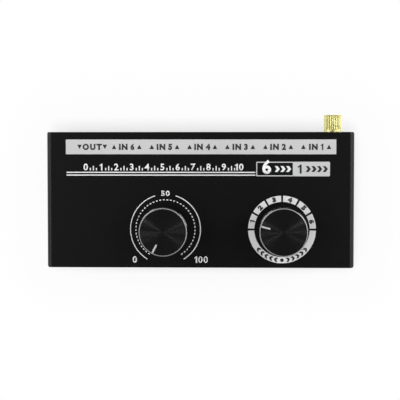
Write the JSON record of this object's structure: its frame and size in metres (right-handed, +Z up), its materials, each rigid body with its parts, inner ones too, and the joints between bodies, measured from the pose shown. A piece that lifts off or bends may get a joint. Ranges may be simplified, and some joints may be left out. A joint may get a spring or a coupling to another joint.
{
  "type": "audio source selector",
  "caption": "Low black box with a volume knob and a rotary source knob on top, paired large and small jacks across the rear panel, and a ground terminal.",
  "frame": {"origin": "on the surface that the feet stand on, at the centre of the footprint's box", "axes": "+X to the right seen from above with the jacks at the far side, +Y to the rear where the jacks are, +Z up"},
  "size_m": [0.1396, 0.068, 0.0667],
  "materials": {
    "black_coat": "fine satin powder coat",
    "screw_steel": "zinc plated",
    "foot_rubber": "matte",
    "board_green": "solder mask",
    "black_plastic": "moulded",
    "cream_plastic": "moulded",
    "gold_plate": "polished gold plate",
    "plain_brass": "turned",
    "dark_nickel": "dark nickel plate",
    "spring_metal": "tinned",
    "plated_steel": "bright plated",
    "black_anodised": "gloss black anodised, spun top",
    "bright_aluminium": "bright",
    "wafer_brown": "phenolic",
    "wire_copper": "bare copper"
  },
  "bodies": {
    "case": {"top_cover": "black_coat", "chassis": "black_coat", "cover_screws": "screw_steel", "rubber_feet": "foot_rubber", "lower_board": "board_green", "upper_board": "board_green", "board_standoffs": "plain_brass", "board_pillars": "plain_brass", "board_screws": "screw_steel", "link_pins": "gold_plate", "link_pin_bases": "black_plastic", "large_jack_bodies": "black_plastic", "large_jack_sleeves": "gold_plate", "large_jack_tip_springs": "spring_metal", "large_jack_ring_springs": "spring_metal", "small_jack_bodies": "black_plastic", "small_jack_sleeves": "dark_nickel", "small_jack_tip_springs": "spring_metal", "small_jack_ring_springs": "spring_metal", "volume_bushing": "plated_steel", "volume_washer": "plated_steel", "volume_nut": "plated_steel", "volume_can": "plated_steel", "volume_wafers": "wafer_brown", "volume_terminals": "spring_metal", "selector_bushing": "plated_steel", "selector_washer": "plated_steel", "selector_nut": "plated_steel", "selector_cap": "black_plastic", "selector_base": "black_plastic", "selector_contacts": "spring_metal", "selector_commons": "spring_metal", "ground_stud": "plain_brass", "ground_inner_nut": "plain_brass", "ground_lug": "spring_metal", "ground_wire": "wire_copper"},
    "volume_control": {"volume_knob": "black_anodised", "volume_knob_hub": "cream_plastic", "volume_pointer": "bright_aluminium", "volume_shaft": "plated_steel", "volume_wipers": "cream_plastic"},
    "selector_control": {"selector_knob": "black_anodised", "selector_knob_hub": "cream_plastic", "selector_pointer": "bright_aluminium", "selector_shaft": "plated_steel", "selector_rotor": "cream_plastic", "selector_wipers": "spring_metal", "detent_balls": "plated_steel", "detent_springs": "plated_steel"},
    "ground_clamp": {"ground_clamp_washer": "plain_brass"},
    "ground_nut": {"ground_thumb_nut": "plain_brass"}
  },
  "joints": [
    {"name": "volume_turn", "type": "hinge", "parent": "case", "child": "volume_control", "pos_m": [-0.0153, -0.017, 0.0474], "axis": [0, 0, 1], "range_deg": [-306, 0]},
    {"name": "selector_turn", "type": "hinge", "parent": "case", "child": "selector_control", "pos_m": [0.0362, -0.017, 0.0474], "axis": [0, 0, 1], "range_deg": [-150, 0]},
    {"name": "ground_clamp_travel", "type": "slide", "parent": "case", "child": "ground_clamp", "axis": [0, 1, 0], "range_m": [0, 0.0028]},
    {"name": "ground_nut_turn", "type": "hinge", "parent": "ground_clamp", "child": "ground_nut", "pos_m": [0.0599, 0.03, 0.0283], "axis": [0, 1, 0], "range_deg": [0, 1440]}
  ],
  "couplings": [
    {"joint": "ground_nut_turn", "follows": "ground_clamp_travel", "rad_per_m": 8975}
  ]
}
